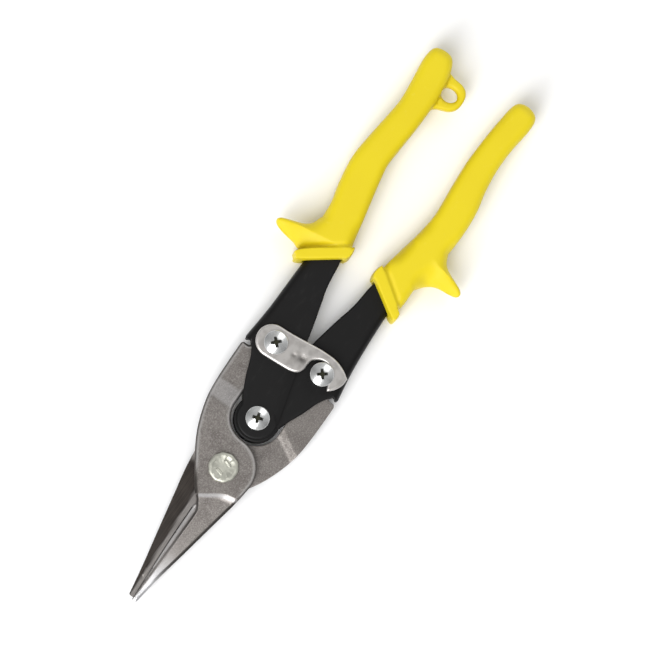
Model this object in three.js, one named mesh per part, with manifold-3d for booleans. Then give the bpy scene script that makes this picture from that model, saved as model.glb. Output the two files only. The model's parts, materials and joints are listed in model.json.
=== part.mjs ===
// Compound-action aviation snips, closed and latched, lying flat.
//
// The snips are a four-bar linkage: the blades cross at the blade pivot, the handles cross at the
// handle pivot, and each blade's tail is pinned inside its own handle at a link screw.
// Everything is drawn with the blade pivot at the origin, +X towards the tips, +Y towards the right
// handle, +Z towards the screw heads, and z = 0 in the plane where the blades shear.
// Blades, handles and grips are drawn on the right handle's side; those of the left handle are
// turned over about X. At the end the object is moved so that its origin is the middle of its base.

import * as THREE from "three";
import { mergeVertices } from "three/addons/utils/BufferGeometryUtils.js";
import Module from "manifold-3d";

const wasm = await Module();
wasm.setup();

// ---------- driving dimensions, in millimetres and degrees ----------

// pivots
const HANDLE_PIVOT_X = -23.6;
const LINK_X = -52;
const LINK_Y = 11;

// blades
const SHEAR_GAP = 0.15; // each blade's flat face to the shear plane
const BOSS_R = 13.05;
const BOSS_THICK = 4.8;
const JAW_THICK = 3.4;
const TIP_THICK = 1.5;
const EDGE_THICK = 1.2; // of the narrow strip along the cutting edge
const STRIP_RISE = 0.15; // how much thicker the strip is at its back
const CREASE_SLOPE = 0.44; // run over rise of the wall between the strip and the jaw's side
const TAIL_THICK = 4.2;
const TAIL_EYE_R = 8;
const TAIL_STEP_X = -10; // where the inner face steps up into the handle's middle
const FRONT_TIP_X = 62.3;
const REAR_TIP_X = 61.4;

// handles: pressed channels whose walls lap at the handle pivot
const WALL = 1.8;
const CHANNEL_INSIDE = 4.8;
const LAP = 1.05; // each channel's middle plane to the shear plane
const FRONT_END_R = 8.2;
const REAR_END_R = 9.4;

// grips
const GRIP_HALF = 8.8;
const GRIP_ROUNDING = 3.5;
const GUARD_HALF = 5;
const LOOP_HALF = 2.6;
const POCKET_GAP = 0.35;

// gaps
const STILL_GAP = 0.15; // between pieces that don't move on each other
const RUN_GAP = 0.25; // between pieces that do
const OPEN_PIVOT_GAP = 0.45; // the rear blade's hole round the pivot bolt

// fasteners
const ROUND = 32; // sides of a round piece
const BOLT_R = 4;
const BOLT_HEAD_R = 6;
const BOLT_HEAD_H = 2.7;
const SCREW_R = 2.2;
const SCREW_HEAD_R = 4.75;
const SCREW_HEAD_H = 1.9;
const SCREW_RIM_H = 0.6;
const THREAD_END = 0.3; // how far a screw stands out of its nut
const LINK_SLEEVE_R = 3.2;
const HANDLE_SLEEVE_R = 3.5;
const NUT_H = 2.8;
const NUT_R = 5;
const SPACER_R = 4.25;
const PIVOT_NUT_R = 7.2;
const PIVOT_WASHER_R = 7.6;
const PIVOT_WASHER_H = 0.9;
const FLOOR_GAP = 0.3; // under the end of the pivot bolt

// latch
const LATCH_WASHER_H = 0.4;
const LATCH_THICK = 1.6;
const HEAD_GAP = 0.2;
const RELEASE_ANGLE = 26.4; // way the right link screw leaves the hook, from +X

// opening spring
const WIRE_R = 0.45;
const COIL_R = 5.2;
const COIL_RISE = 1.6;

// ---------- heights worked out from them ----------

const LEFT_TOP = LAP + CHANNEL_INSIDE / 2 + WALL; // the left handle is the upper one
const RIGHT_TOP = LEFT_TOP - 2 * LAP;
const WASHER_UNDER = LEFT_TOP + STILL_GAP;
const LATCH_UNDER = WASHER_UNDER + LATCH_WASHER_H + STILL_GAP;
const LINK_HEAD_UNDER = LATCH_UNDER + LATCH_THICK + HEAD_GAP;
const BASE = -GRIP_HALF;
const THROUGH = 8; // beyond either side of every blade and handle

// ---------- solids ----------

const vectors = (points) => points.map(([x, y]) => new THREE.Vector2(x, y));

// A closed three.js geometry as a solid that can be joined and cut.
function solid(geometry) {
  const bare = new THREE.BufferGeometry();
  bare.setAttribute("position", geometry.getAttribute("position"));
  bare.setIndex(geometry.index);
  const merged = mergeVertices(bare, 1e-4);
  return new wasm.Manifold(new wasm.Mesh({
    numProp: 3,
    vertProperties: merged.attributes.position.array,
    triVerts: new Uint32Array(merged.index.array),
  }));
}

function extrusion(points, from, to) {
  const settings = { depth: to - from, bevelEnabled: false };
  return new THREE.ExtrudeGeometry(new THREE.Shape(vectors(points)), settings).translate(0, 0, from);
}

// A plan outline of [x, y] points, from z0 up to z1.
const prism = (points, z0, z1) => solid(extrusion(points, z0, z1));

// A side view of [x, z] points drawn out from -width to width across the snips.
const side = (points, width) => extrusion(points, -width, width).rotateX(Math.PI / 2);

// A cross-section of [y, z] points drawn out along the snips from x0 to x1.
const section = (points, x0, x1) => extrusion(points, x0, x1).rotateX(Math.PI / 2).rotateZ(Math.PI / 2);

// A plan outline from z0 to z1 with its long edges rounded by r.
function pillow(points, z0, z1, r) {
  const geometry = new THREE.ExtrudeGeometry(new THREE.Shape(vectors(points)), {
    depth: z1 - z0 - 2 * r,
    bevelThickness: r,
    bevelSize: r,
    bevelOffset: -r,
    bevelSegments: 3,
  });
  return solid(geometry.translate(0, 0, z0 + r));
}

// A solid of revolution about an upright axis at (x, y), from [radius, z] points.
const lathe = (profile, x = 0, y = 0, sides = ROUND) =>
  solid(new THREE.LatheGeometry(vectors(profile), sides).rotateX(Math.PI / 2).translate(x, y, 0));

const cylinder = (r, z0, z1, x = 0, y = 0, sides = ROUND) =>
  lathe([[0, z0], [r, z0], [r, z1], [0, z1]], x, y, sides);

// A cutter for an upright hole through a blade or handle.
const drill = (r, x = 0, y = 0) => cylinder(r, -THROUGH, THROUGH, x, y);

const ring = (inner, outer, z0, z1) =>
  lathe([[inner, z0], [outer, z0], [outer, z1], [inner, z1], [inner, z0]]);

// Points spaced along a smooth curve through the given points.
const through = (points, count) =>
  new THREE.SplineCurve(vectors(points)).getSpacedPoints(count).map((p) => [p.x, p.y]);

// Points along an arc, angles in degrees.
function arc(x, y, r, from, to, count) {
  const at = (i) => THREE.MathUtils.degToRad(from + ((to - from) * i) / count);
  return Array.from({ length: count + 1 }, (_, i) => [x + r * Math.cos(at(i)), y + r * Math.sin(at(i))]);
}

const shifted = (points, dx, dy) => points.map(([x, y]) => [x + dx, y + dy]);

// A finished piece as a named mesh.
function piece(name, made, look) {
  const { vertProperties, triVerts } = made.getMesh();
  const geometry = new THREE.BufferGeometry();
  geometry.setAttribute("position", new THREE.BufferAttribute(vertProperties, 3));
  geometry.setIndex(new THREE.BufferAttribute(triVerts, 1));
  geometry.computeVertexNormals();
  const mesh = new THREE.Mesh(geometry, new THREE.MeshStandardMaterial(look));
  mesh.name = name;
  return mesh;
}

const FORGED = { color: 0x8a8580, roughness: 0.45, metalness: 0.9 };
const PAINTED = { color: 0x232222, roughness: 0.4, metalness: 0.3 };
const MOULDED = { color: 0xeed828, roughness: 0.45, metalness: 0 };
const PLATED = { color: 0xc9c8c2, roughness: 0.3, metalness: 1 };
const SPRING_STEEL = { color: 0x55534f, roughness: 0.35, metalness: 1 };

// ---------- blades ----------

// The side view that a blade is cut to: a thin tail set back from the shear plane, a thick boss
// against it, and a jaw whose outer side the step cuts away.
function bladeLevels() {
  const tailTop = -LAP + TAIL_THICK / 2;
  const tailUnder = -LAP - TAIL_THICK / 2;
  const beyondTail = -70;
  const beyondTip = 70;
  return solid(side([
    [beyondTail, tailUnder],
    [-29.3, tailUnder],
    [-20.2, -BOSS_THICK],
    [beyondTip, -BOSS_THICK],
    [beyondTip, -SHEAR_GAP],
    [TAIL_STEP_X, -SHEAR_GAP],
    [TAIL_STEP_X, tailTop],
    [beyondTail, tailTop],
  ], 40));
}

// Cuts the jaw down from the boss by a sloping step on a slanted line, thinning to the tip.
function jawCutter() {
  const toTip = 54;
  const profile = [
    [0, -THROUGH],
    [0, -BOSS_THICK],
    [2.2, -JAW_THICK],
    [toTip, -TIP_THICK],
    [toTip, -THROUGH],
  ];
  return solid(side(profile, 30).rotateZ(-THREE.MathUtils.degToRad(26.4)).translate(10.2, -2.8, 0));
}

// Leaves a narrow thin strip along the cutting edge, below a steep wall.
function edgeCutter() {
  const wallFoot = 0.9;
  const stripBack = -EDGE_THICK - STRIP_RISE;
  const profile = [
    [wallFoot - CREASE_SLOPE * (THROUGH + stripBack), -THROUGH],
    [wallFoot, stripBack],
    [3.2, -EDGE_THICK],
    [THROUGH, -EDGE_THICK],
    [THROUGH, -THROUGH],
  ];
  return solid(section(profile, -3.4, 45).rotateZ(THREE.MathUtils.degToRad(1.4)).translate(20.4, -1.5, 0));
}

// The rear blade: below the shear plane, jaw on -Y, tail on +Y in the right handle.
function blade(tipX, boltHoleR) {
  const spine = through([
    [tipX - 0.3, -1.6], [50, -3.95], [35, -6.9], [20, -9.8], [8, -12.1], [-0.5, -BOSS_R],
  ], 10);
  const boss = arc(0, 0, BOSS_R, -97, -178, 9);
  const hollow = arc(HANDLE_PIVOT_X, 0, 10.5, 2, 90, 8);
  const neck = [[-31, 10.3], [-37, 9]];
  const eye = arc(LINK_X, LINK_Y, TAIL_EYE_R, -40, -290, 18);
  const heel = [[-46.4, 18.6], [-45.5, 19.4], [-45.5, 21.4], [-44.7, 22.2]];
  const back = through([
    [-43, 22.3], [-30, 22.1], [-20, 21.2], [-10, 18.3], [-2, 14.5], [9, 7.4], [13.7, 3.85],
  ], 14);
  const edge = [[15.6, 1.7], [17, 0.8], [19, 1.4], [35, 1.2], [50, 0.6], [tipX, 0]];
  const plan = [...spine, ...boss, ...hollow, ...neck, ...eye, ...heel, ...back, ...edge];
  const otherBoss = cylinder(BOSS_R + 0.6, -SHEAR_GAP, THROUGH, 0, 0, 48);

  return prism(plan, -THROUGH, THROUGH)
    .intersect(bladeLevels())
    .subtract(otherBoss)
    .subtract(jawCutter())
    .subtract(edgeCutter())
    .subtract(drill(boltHoleR))
    .subtract(drill(LINK_SLEEVE_R + RUN_GAP, LINK_X, LINK_Y));
}

// ---------- handles and grips ----------

// The channel's web on the outside and its lip on the inside, from the spur back to the end that is
// hidden in the grip. The left handle stands a little further out than the right one.
const RIGHT_CHANNEL = {
  web: [
    [-166, 19], [-150, 20], [-130, 22], [-110, 20.3], [-93, 18.9], [-76, 19.2], [-60.4, 20.3],
    [-48.1, 22.1],
  ],
  lip: [
    [-59.4, 0.9], [-68.7, 2.8], [-75, 4.2], [-82.2, 5.9], [-92.8, 7.1], [-100, 9.2], [-110, 11.6],
    [-130, 15], [-150, 13.6], [-166, 13.6],
  ],
};
const LEFT_CHANNEL = {
  web: [
    [-166, 23], [-150, 23.6], [-130, 25.2], [-110, 21.7], [-93, 20.4], [-76, 20.7], [-62, 21.1],
    [-48.1, 22.3],
  ],
  lip: [
    [-59.4, 1], [-68.7, 3.3], [-75, 5], [-82.2, 6.9], [-92.4, 8.2], [-100, 10.2], [-110, 12.4],
    [-130, 17.6], [-150, 17], [-166, 17],
  ],
};

function channelEdges({ web, lip }) {
  return { web: through(web, 22), lip: through(lip, 18) };
}

// A handle, with its rounded end of radius endR about the handle pivot.
function handle(channel, endR) {
  const { web, lip } = channelEdges(channel);
  const spur = [[-47.3, 22], [-47.15, 21.3], [-47.85, 20]];
  const lower = [[-46.4, 18.7], [-42.3, 16.2], [-35.3, 13.5], [-28.2, 10.3]];
  const end = arc(HANDLE_PIVOT_X, 0, endR, 100, -105, 18);
  const outside = CHANNEL_INSIDE / 2 + WALL;
  const inside = CHANNEL_INSIDE / 2;
  const behind = shifted(web, 0, -WALL);
  const hollow = [[-170, behind[0][1]], ...behind, [-46, 20.3], [0, 20.3], [0, -30], [-170, -30]];
  return prism([...web, ...spur, ...lower, ...end, ...lip], -LAP - outside, -LAP + outside)
    .subtract(prism(hollow, -LAP - inside, -LAP + inside))
    .subtract(drill(SCREW_R + RUN_GAP, LINK_X, LINK_Y))
    .subtract(drill(HANDLE_SLEEVE_R + RUN_GAP, HANDLE_PIVOT_X, 0));
}

// The space that a handle's hidden end takes up in its grip.
function pocket(channel) {
  const { web, lip } = channelEdges(channel);
  const inGrip = ([x]) => x < -80;
  const outline = [
    ...shifted(web.filter(inGrip), 0, POCKET_GAP),
    ...shifted(lip.filter(inGrip), 0, -POCKET_GAP),
  ];
  outline[0][0] -= POCKET_GAP;
  outline[outline.length - 1][0] -= POCKET_GAP;
  const half = CHANNEL_INSIDE / 2 + WALL + POCKET_GAP;
  return prism(outline, -LAP - half, -LAP + half);
}

function grip({ body, collar, guard }, channel) {
  return pillow(through(body, 30), -GRIP_HALF, GRIP_HALF, GRIP_ROUNDING)
    .add(prism(collar, -GRIP_HALF, GRIP_HALF))
    .add(prism(through(guard, 16), -GUARD_HALF, GUARD_HALF))
    .subtract(pocket(channel));
}

const RIGHT_GRIP = {
  body: [
    [-91, 20.8], [-101.4, 22], [-110, 24], [-120, 25], [-130, 25.5], [-140, 24.9], [-150, 22.9],
    [-160, 22], [-170, 22.4], [-180, 23.6], [-185, 22.5], [-186.8, 17.5], [-184.5, 13], [-175, 11.4],
    [-165, 10.6], [-155, 10.3], [-145, 10.8], [-131, 11.8], [-120, 10.6], [-110, 8.5], [-98, 6.6],
  ],
  collar: [[-94.2, 4.8], [-85.2, 22.6], [-89.4, 22.8], [-101.6, 5.9]],
  guard: [
    [-100, 20], [-103.5, 22.9], [-106.6, 27.5], [-108.2, 36.6], [-109.7, 38.1], [-112.6, 34.1],
    [-115.5, 28.2], [-122, 24],
  ],
};

const LEFT_GRIP = {
  body: [
    [-89, 23.2], [-98, 24.2], [-110, 24.7], [-120, 26.9], [-131, 28.3], [-143, 27.3], [-152, 26.2],
    [-160.5, 25.5], [-171, 26.4], [-180, 27.3], [-185.4, 25.5], [-185.9, 19], [-181.5, 15.6],
    [-172, 13.6], [-158, 13.5], [-145, 14.3], [-135.5, 14.7], [-125, 12.9], [-115, 10.8],
    [-105, 8.8], [-97, 7.3],
  ],
  collar: [[-93.4, 6.3], [-83.6, 24], [-88.3, 24.3], [-100.8, 6.7]],
  guard: [
    [-108, 22], [-104, 24.4], [-99, 26.7], [-96, 32.5], [-94.3, 37.9], [-93.1, 38.65],
    [-91.6, 37.5], [-89.6, 30], [-88.6, 22],
  ],
};

// The flat loop that the snips hang by, on the inner side of the left grip's end.
const LOOP = { x: -173.3, y: 10.6, outerX: 6.5, outerY: 6.2, holeX: 2.95, holeY: 3.5 };

function leftGrip() {
  const circle = arc(0, 0, 1, 0, 345, 23);
  const ellipse = (rx, ry) => circle.map(([x, y]) => [LOOP.x + rx * x, LOOP.y + ry * y]);
  const plate = prism(ellipse(LOOP.outerX, LOOP.outerY), -LOOP_HALF, LOOP_HALF);
  const hole = prism(ellipse(LOOP.holeX, LOOP.holeY), -THROUGH, THROUGH);
  return grip(LEFT_GRIP, LEFT_CHANNEL).add(plate).subtract(hole);
}

// ---------- latch ----------

// A strip that turns on the left link screw and hooks round the right one. The hook's inner wall
// lies along the way that screw leaves it, so the latch swings clear as the handles open.
function latch() {
  const way = THREE.MathUtils.degToRad(RELEASE_ANGLE);
  const room = SCREW_R + HEAD_GAP + RUN_GAP;
  const onWall = (along) => [
    LINK_X + along * Math.cos(way) - room * Math.sin(way),
    LINK_Y + along * Math.sin(way) + room * Math.cos(way),
  ];
  const foot = arc(LINK_X + 0.2, -LINK_Y - 1.6, 6.6, 0, -180, 14);
  const back = through([[-58.6, -8], [-59.4, 0], [-60, 6], [-59.9, 12], [-58.4, 16.6], [-56.1, 20.2]], 9);
  const top = through([[-53, 20], [-50, 18.6], [-47.9, 16.6]], 4);
  const notch = through([onWall(-1.6), [-56.3, 10.8], [-56.4, 7.8], [-54.6, 4.9], [-52, 4.1]], 8);
  const lobe = through([[-49.7, 4], [-47.3, 2.7], [-46.1, 0], [-45.6, -5]], 6);
  const plan = [...foot, ...back, ...top, onWall(5.2), ...notch, ...lobe];
  return prism(plan, LATCH_UNDER, LATCH_UNDER + LATCH_THICK)
    .subtract(drill(SCREW_R + RUN_GAP, LINK_X, -LINK_Y));
}

// ---------- fasteners ----------

// A domed screw with its head's underside at `under`, reaching down to `end`.
function screw(under, end) {
  const rise = SCREW_HEAD_H - SCREW_RIM_H;
  const dome = arc(0, 0, 1, 18, 90, 4).map(([x, y]) => [SCREW_HEAD_R * x, under + SCREW_RIM_H + rise * y]);
  dome[dome.length - 1][0] = 0;
  return lathe([
    [0, end],
    [SCREW_R, end],
    [SCREW_R, under],
    [SCREW_HEAD_R, under],
    [SCREW_HEAD_R, under + SCREW_RIM_H],
    ...dome,
  ]);
}

function boltWithHead(under, end) {
  const top = under + BOLT_HEAD_H;
  const chamfer = 0.7;
  return lathe([
    [0, end],
    [BOLT_R, end],
    [BOLT_R, under],
    [BOLT_HEAD_R, under],
    [BOLT_HEAD_R, top - chamfer],
    [BOLT_HEAD_R - chamfer, top],
    [0, top],
  ]);
}

// A hexagon nut hanging from `top`.
function nut(boreR, cornerR, top) {
  const hexagon = arc(0, 0, cornerR, 0, 300, 5);
  return prism(hexagon, top - NUT_H, top).subtract(cylinder(boreR, top - 2 * NUT_H, top + NUT_H));
}

// ---------- opening spring ----------

// A torsion spring round the handle pivot. Its legs lie against the blades' eyes.
function openingSpring() {
  const legEnd = new THREE.Vector2(-50, 2.4);
  const reach = Math.hypot(legEnd.x - HANDLE_PIVOT_X, legEnd.y);
  const legAngle = Math.atan2(legEnd.y, legEnd.x - HANDLE_PIVOT_X);
  const tangent = legAngle - Math.acos(COIL_R / reach);
  const steps = 24;
  const sweep = 2 * Math.PI + 2 * tangent;
  const coil = Array.from({ length: steps + 1 }, (_, i) => {
    const a = -tangent + (sweep * i) / steps;
    const z = COIL_RISE * (i / steps - 0.5);
    return new THREE.Vector3(HANDLE_PIVOT_X + COIL_R * Math.cos(a), COIL_R * Math.sin(a), z);
  });
  const leg = (y, z) => {
    const end = new THREE.Vector3(legEnd.x, y, z);
    const start = y < 0 ? coil[0] : coil[steps];
    return [0.97, 0.6, 0.2].map((t) => start.clone().lerp(end, t));
  };
  const path = new THREE.CatmullRomCurve3([
    ...leg(-legEnd.y, -COIL_RISE / 2),
    ...coil,
    ...leg(legEnd.y, COIL_RISE / 2).reverse(),
  ]);
  const wire = new THREE.Shape(vectors(arc(0, 0, WIRE_R, 0, 315, 7)));
  return solid(new THREE.ExtrudeGeometry(wire, { steps: 60, extrudePath: path, bevelEnabled: false }));
}

// ---------- assembly, one group for each moving body ----------

const at = (x, y, mesh) => {
  mesh.position.set(x, y, 0);
  return mesh;
};
const atLeftLink = (mesh) => at(LINK_X, -LINK_Y, mesh);
const atRightLink = (mesh) => at(LINK_X, LINK_Y, mesh);
const atHandlePivot = (mesh) => at(HANDLE_PIVOT_X, 0, mesh);
const turnedOver = (mesh) => {
  mesh.rotation.x = Math.PI;
  return mesh;
};
const group = (...meshes) => new THREE.Group().add(...meshes);

const rightNutTop = RIGHT_TOP - CHANNEL_INSIDE - 2 * WALL - STILL_GAP;
const leftNutTop = rightNutTop + 2 * LAP;
const rightScrewEnd = rightNutTop - NUT_H - THREAD_END;
const leftScrewEnd = leftNutTop - NUT_H - THREAD_END;
const sleeveBore = SCREW_R + STILL_GAP;
const sleeveHalf = CHANNEL_INSIDE / 2 - STILL_GAP;
const rightSleeve = ring(sleeveBore, LINK_SLEEVE_R, -LAP - sleeveHalf, -LAP + sleeveHalf);
const leftSleeve = ring(sleeveBore, LINK_SLEEVE_R, LAP - sleeveHalf, LAP + sleeveHalf);
const waveWasher = ring(sleeveBore, SCREW_HEAD_R, WASHER_UNDER, WASHER_UNDER + LATCH_WASHER_H);
const pivotSleeve = ring(sleeveBore, HANDLE_SLEEVE_R, rightNutTop + 2 * STILL_GAP, LEFT_TOP - STILL_GAP);
const spacer = ring(sleeveBore, SPACER_R, RIGHT_TOP + STILL_GAP, LATCH_UNDER - HEAD_GAP);

const leftHandle = group(
  turnedOver(piece("left_handle", handle(LEFT_CHANNEL, FRONT_END_R), PAINTED)),
  turnedOver(piece("left_grip", leftGrip(), MOULDED)),
  atLeftLink(piece("left_link_screw", screw(LINK_HEAD_UNDER, leftScrewEnd), PLATED)),
  atLeftLink(piece("left_link_sleeve", leftSleeve, PLATED)),
  atLeftLink(piece("left_link_nut", nut(sleeveBore, NUT_R, leftNutTop), PLATED)),
  atLeftLink(piece("latch_wave_washer", waveWasher, PLATED)),
  atHandlePivot(piece("handle_pivot_screw", screw(LEFT_TOP + STILL_GAP, rightScrewEnd), PLATED)),
  atHandlePivot(piece("handle_pivot_sleeve", pivotSleeve, PLATED)),
  atHandlePivot(piece("handle_pivot_nut", nut(sleeveBore, NUT_R, rightNutTop), PLATED)),
  piece("opening_spring", openingSpring(), SPRING_STEEL),
);

const rightHandle = group(
  piece("right_handle", handle(RIGHT_CHANNEL, REAR_END_R), PAINTED),
  piece("right_grip", grip(RIGHT_GRIP, RIGHT_CHANNEL), MOULDED),
  atRightLink(piece("right_link_screw", screw(LINK_HEAD_UNDER, rightScrewEnd), PLATED)),
  atRightLink(piece("right_link_spacer", spacer, PLATED)),
  atRightLink(piece("right_link_sleeve", rightSleeve, PLATED)),
  atRightLink(piece("right_link_nut", nut(sleeveBore, NUT_R, rightNutTop), PLATED)),
);

const boltBore = BOLT_R + STILL_GAP;
const washerTop = -BOSS_THICK - STILL_GAP;
const boltNutTop = washerTop - PIVOT_WASHER_H - STILL_GAP;
const pivotWasher = ring(boltBore, PIVOT_WASHER_R, washerTop - PIVOT_WASHER_H, washerTop);
const frontBlade = group(
  turnedOver(piece("front_blade", blade(FRONT_TIP_X, boltBore), FORGED)),
  piece("pivot_bolt", boltWithHead(BOSS_THICK + STILL_GAP, BASE + FLOOR_GAP), PLATED),
  piece("pivot_washer", pivotWasher, PLATED),
  piece("pivot_nut", nut(boltBore, PIVOT_NUT_R, boltNutTop), PLATED),
);
const rearBlade = group(piece("rear_blade", blade(REAR_TIP_X, BOLT_R + OPEN_PIVOT_GAP), FORGED));
const latchBody = group(piece("latch", latch(), PLATED));

const snips = group(leftHandle, rightHandle, frontBlade, rearBlade, latchBody);

// origin: the middle of the footprint, on the plane the snips lie on
const box = new THREE.Box3().setFromObject(snips, true);
const middle = box.getCenter(new THREE.Vector3());
snips.position.set(-middle.x, -middle.y, -box.min.z);

export default new THREE.Group().add(snips);
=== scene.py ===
"""Compound-action aviation snips, closed and latched, lying on a pale floor.

Lengths are in millimetres in the snips' own plan: the blade pivot is the origin, +X runs towards
the tips, +Y towards the right handle, +Z up, and z = 0 is the plane where the blades shear.
"""
import json
import math

import bmesh
import bpy
import numpy as np
from mathutils import Matrix, Vector
from mathutils.geometry import delaunay_2d_cdt


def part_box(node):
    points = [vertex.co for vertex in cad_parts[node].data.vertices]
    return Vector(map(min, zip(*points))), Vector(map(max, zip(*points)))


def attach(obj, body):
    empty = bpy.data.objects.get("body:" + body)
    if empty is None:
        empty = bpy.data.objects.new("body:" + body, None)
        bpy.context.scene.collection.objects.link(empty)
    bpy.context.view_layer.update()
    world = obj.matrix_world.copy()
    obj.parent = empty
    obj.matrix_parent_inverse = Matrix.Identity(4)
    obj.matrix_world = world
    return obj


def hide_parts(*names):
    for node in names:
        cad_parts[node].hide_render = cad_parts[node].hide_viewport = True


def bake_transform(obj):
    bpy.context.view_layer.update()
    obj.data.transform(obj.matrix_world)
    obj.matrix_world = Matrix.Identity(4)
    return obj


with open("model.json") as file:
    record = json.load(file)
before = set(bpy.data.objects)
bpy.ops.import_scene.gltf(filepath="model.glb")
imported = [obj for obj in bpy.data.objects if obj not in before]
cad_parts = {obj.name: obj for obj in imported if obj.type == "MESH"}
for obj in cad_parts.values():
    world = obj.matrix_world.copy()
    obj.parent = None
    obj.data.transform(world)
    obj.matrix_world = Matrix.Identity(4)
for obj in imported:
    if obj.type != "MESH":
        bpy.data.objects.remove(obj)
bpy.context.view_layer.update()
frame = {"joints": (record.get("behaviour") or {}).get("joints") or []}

MM = 0.001

# ---------- places taken from the frame ----------

JOINT_AT = {j["name"]: Vector(j["pos_m"]) for j in frame["joints"]}
bolt_low, bolt_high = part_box("pivot_bolt")
ORIGIN = Vector((
    (bolt_low.x + bolt_high.x) / 2, (bolt_low.y + bolt_high.y) / 2, JOINT_AT["handle_pivot"].z))


def plan_point(point):
    """A point of the frame in plan millimetres."""
    return tuple((point - ORIGIN) / MM)


def box_mm(node):
    """The lowest and highest corners of a CAD node in plan millimetres."""
    low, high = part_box(node)
    return plan_point(low), plan_point(high)


HANDLE_X = plan_point(JOINT_AT["handle_pivot"])[0]
LINK_X, LINK_Y = plan_point(JOINT_AT["right_link"])[:2]

# ---------- outlines ----------


def smooth(points, step, closed=False):
    """Points about `step` apart along a smooth curve through the given points."""
    p = np.array(points, float)
    count = len(p)
    spans = count if closed else count - 1
    ends = (p[-1], p[0]) if closed else (p[0], p[-1])
    out = []
    for i in range(spans):
        b, c = p[i], p[(i + 1) % count]
        a = p[i - 1] if i or closed else ends[0]
        d = p[(i + 2) % count] if closed or i + 2 < count else ends[1]
        steps = max(1, round(float(np.linalg.norm(c - b)) / step))
        t = (np.arange(steps) / steps)[:, None]
        out.append(0.5 * (2 * b + (c - a) * t + (2 * a - 5 * b + 4 * c - d) * t**2
                          + (3 * b - a - 3 * c + d) * t**3))
    if not closed:
        out.append(p[-1:])
    return np.concatenate(out)


def straight(points, step):
    """Points about `step` apart along the straight lines between the given points."""
    p = np.array(points, float)
    out = []
    for b, c in zip(p[:-1], p[1:]):
        steps = max(1, round(float(np.linalg.norm(c - b)) / step))
        out.append(b + (c - b) * (np.arange(steps) / steps)[:, None])
    return np.concatenate([*out, p[-1:]])


def arc(x, y, radius, start, end, step):
    """Points along an arc between two angles in degrees."""
    steps = max(2, round(abs(math.radians(end - start)) * radius / step))
    a = np.radians(np.linspace(start, end, steps + 1))
    return np.stack([x + radius * np.cos(a), y + radius * np.sin(a)], 1)


def ellipse(x, y, rx, ry, count):
    a = np.arange(count) * 2 * np.pi / count
    return np.stack([x + rx * np.cos(a), y + ry * np.sin(a)], 1)


def joined(*runs):
    """Runs of points as one closed outline, without the points that lie on each other."""
    p = np.concatenate([np.array(r, float) for r in runs])
    keep = np.linalg.norm(p - np.roll(p, 1, 0), axis=1) > 0.12
    return p[keep]


def inside(outline, points):
    """Which points lie inside a closed outline."""
    x, y = points[:, 0], points[:, 1]
    found = np.zeros(len(points), bool)
    for (ax, ay), (bx, by) in zip(outline, np.roll(outline, -1, 0)):
        crosses = (ay > y) != (by > y)
        if crosses.any():
            found ^= crosses & (x < (bx - ax) * (y - ay) / ((by - ay) or 1e-12) + ax)
    return found


def nearest(edges, points):
    """Distance from each point to the nearest of some straight edges."""
    best = np.full(len(points), 1e9)
    for (ax, ay), (bx, by) in edges:
        dx, dy = bx - ax, by - ay
        long = dx * dx + dy * dy or 1e-12
        t = np.clip(((points[:, 0] - ax) * dx + (points[:, 1] - ay) * dy) / long, 0, 1)
        best = np.minimum(best, np.hypot(points[:, 0] - ax - t * dx, points[:, 1] - ay - t * dy))
    return best


def distance(path, points, closed=True):
    """Distance from each point to a path."""
    edges = np.stack([path, np.roll(path, -1, 0)], 1)
    return nearest(edges if closed else edges[:-1], points)


def outer_edges(*outlines):
    """The edges of some overlapping outlines that lie on the outside of their union."""
    kept = []
    for outline in outlines:
        edges = np.stack([outline, np.roll(outline, -1, 0)], 1)
        hidden = np.zeros(len(edges), bool)
        for other in outlines:
            if other is not outline:
                hidden |= inside(other, edges.mean(1))
        kept.append(edges[~hidden])
    return np.concatenate(kept)


def grown(outline, by):
    """An outline's points moved outwards, without those that come too near it."""
    along = np.roll(outline, -1, 0) - np.roll(outline, 1, 0)
    outward = np.stack([along[:, 1], -along[:, 0]], 1) * np.sign(area(outline))
    moved = outline + outward / np.linalg.norm(outward, axis=1)[:, None] * by
    return moved[distance(outline, moved) > 0.93 * abs(by)]


def area(outline):
    """Signed area of an outline, above zero when it runs anticlockwise."""
    x, y = outline.T
    return float(np.sum(x * np.roll(y, -1) - np.roll(x, -1) * y)) / 2


def ease(t):
    t = np.clip(t, 0, 1)
    return t * t * (3 - 2 * t)


# ---------- meshes ----------


def add_object(name, vertices_mm, faces, sharp_degrees=32, turned=False):
    """A mesh object from plan millimetres, shaded smooth except at sharp edges."""
    v = np.array(vertices_mm, float)
    if turned:
        v = v * (1, -1, -1)
    mesh = bpy.data.meshes.new(name)
    mesh.from_pydata((v * MM + np.array(ORIGIN)).tolist(), [], [list(f) for f in faces])
    obj = bpy.data.objects.new(name, mesh)
    bpy.context.collection.objects.link(obj)
    shade(obj, sharp_degrees)
    return obj


def shade(obj, sharp_degrees=32):
    bm = bmesh.new()
    bm.from_mesh(obj.data)
    bmesh.ops.remove_doubles(bm, verts=bm.verts, dist=1e-7)
    bmesh.ops.recalc_face_normals(bm, faces=bm.faces)
    limit = math.radians(sharp_degrees)
    for f in bm.faces:
        f.smooth = True
    for e in bm.edges:
        e.smooth = len(e.link_faces) == 2 and e.calc_face_angle(0) < limit
    bm.to_mesh(obj.data)
    bm.free()


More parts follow.
